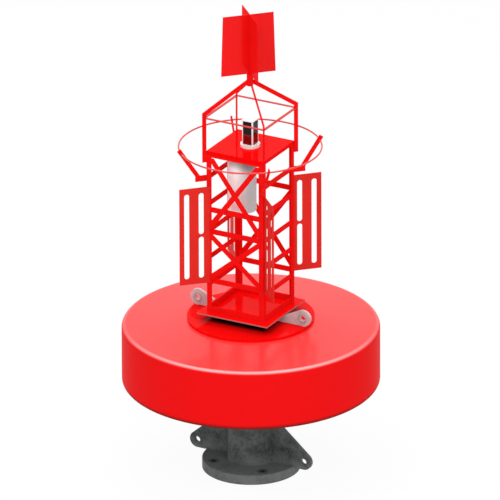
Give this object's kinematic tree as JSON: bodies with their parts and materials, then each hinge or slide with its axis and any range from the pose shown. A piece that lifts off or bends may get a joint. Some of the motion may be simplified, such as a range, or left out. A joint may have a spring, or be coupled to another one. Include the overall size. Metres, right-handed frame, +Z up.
{
  "type": "navigation buoy",
  "caption": "Floating sea mark with a round float, a steel lattice tower carrying plates, a caged lantern and a crossed-plate topmark, over a flanged hub with mooring eyes.",
  "frame": {"origin": "centre of the bottom flange's underside", "axes": "+Z up along the hub; the tower's faces lie along X and Y, the mooring fins and lifting lugs along X"},
  "size_m": [2.2, 2.2, 4.1471],
  "materials": {
    "weathered_steel": "dark grey coated steel, mottled and worn by the water",
    "red_paint": "bright red gloss paint on welded steel",
    "red_float": "red moulded polyethylene, smooth with a soft sheen",
    "vane_red": "slightly duller red paint on flat plate",
    "lug_steel": "bare grey zinc-coated steel",
    "canister_white": "satin white coated cylinder",
    "lantern_white": "white moulded housing",
    "solar_black": "glossy black solar panel"
  },
  "bodies": {
    "root": {"base_flange": "weathered_steel", "hub_tube": "weathered_steel", "mooring_fin_left": "weathered_steel", "mooring_fin_right": "weathered_steel", "clamp_ring": "weathered_steel", "float_body": "red_float", "deck_disc": "red_paint", "lifting_lug_left": "lug_steel", "lifting_lug_right": "lug_steel", "tower_base_plate": "red_paint", "base_rails_long": "red_paint", "base_rails_short": "red_paint", "ladder_rungs_left": "red_paint", "ladder_rungs_right": "red_paint", "face_rails_front": "red_paint", "face_rails_back": "red_paint", "brace_front_whole": "red_paint", "brace_front_split": "red_paint", "brace_back_whole": "red_paint", "brace_back_split": "red_paint", "lantern_platform": "red_paint", "battery_canister": "canister_white", "lantern_base": "lantern_white", "lantern_body": "lantern_white", "lantern_panels": "solar_black", "lantern_cap": "lantern_white", "cage_rods": "red_paint", "guard_ring": "red_paint", "topmark_stem": "red_paint", "topmark_plate": "red_paint", "topmark_wing_front": "red_paint", "topmark_wing_back": "red_paint", "tower_post_left": "red_paint", "cage_bar_left": "red_paint", "ring_arm_left": "red_paint", "vane_left": "vane_red", "tower_post_front": "red_paint", "cage_bar_front": "red_paint", "ring_arm_front": "red_paint", "vane_front": "vane_red", "tower_post_right": "red_paint", "cage_bar_right": "red_paint", "ring_arm_right": "red_paint", "vane_right": "vane_red", "tower_post_back": "red_paint", "cage_bar_back": "red_paint", "ring_arm_back": "red_paint", "vane_back": "vane_red"}
  },
  "joints": []
}
